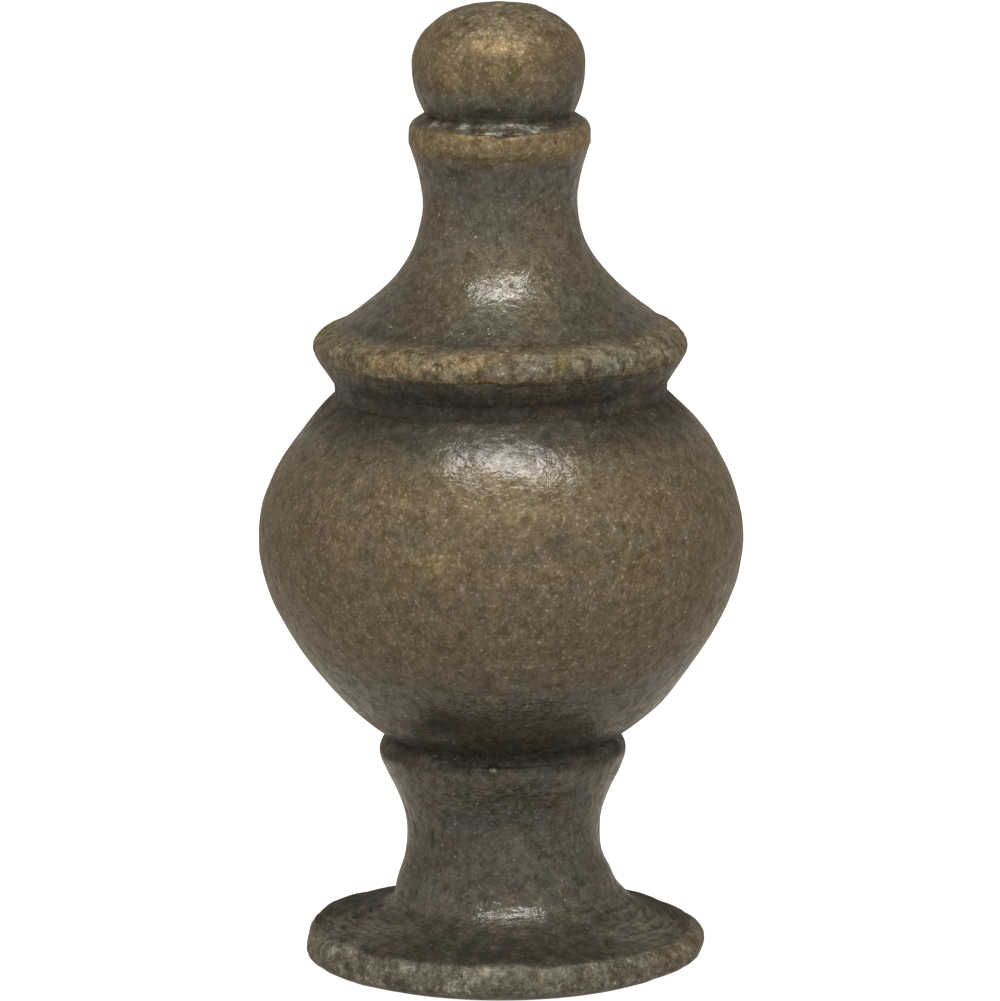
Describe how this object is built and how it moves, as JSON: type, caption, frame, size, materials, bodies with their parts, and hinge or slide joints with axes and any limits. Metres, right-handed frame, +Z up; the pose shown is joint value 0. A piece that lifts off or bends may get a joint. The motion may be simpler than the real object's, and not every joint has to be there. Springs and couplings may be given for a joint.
{
  "type": "lamp finial",
  "caption": "Turned urn finial on a flared foot, with a ring, a waisted neck, a collar and a knob, tapped in its underside to screw onto a lamp harp.",
  "frame": {"origin": "centre of the flat underside of the foot, on the axis of turning", "axes": "+Z up along the axis of turning, from the foot to the knob; X and Y are alike, because the form is a body of revolution"},
  "size_m": [0.0222, 0.0222, 0.0444],
  "materials": {
    "antique_brass": "antiqued: dark brown patina, rubbed back to brass on the ring, the collar, the knob and the rim of the foot, under a satin lacquer"
  },
  "bodies": {
    "root": {"finial": "antique_brass"}
  },
  "joints": []
}
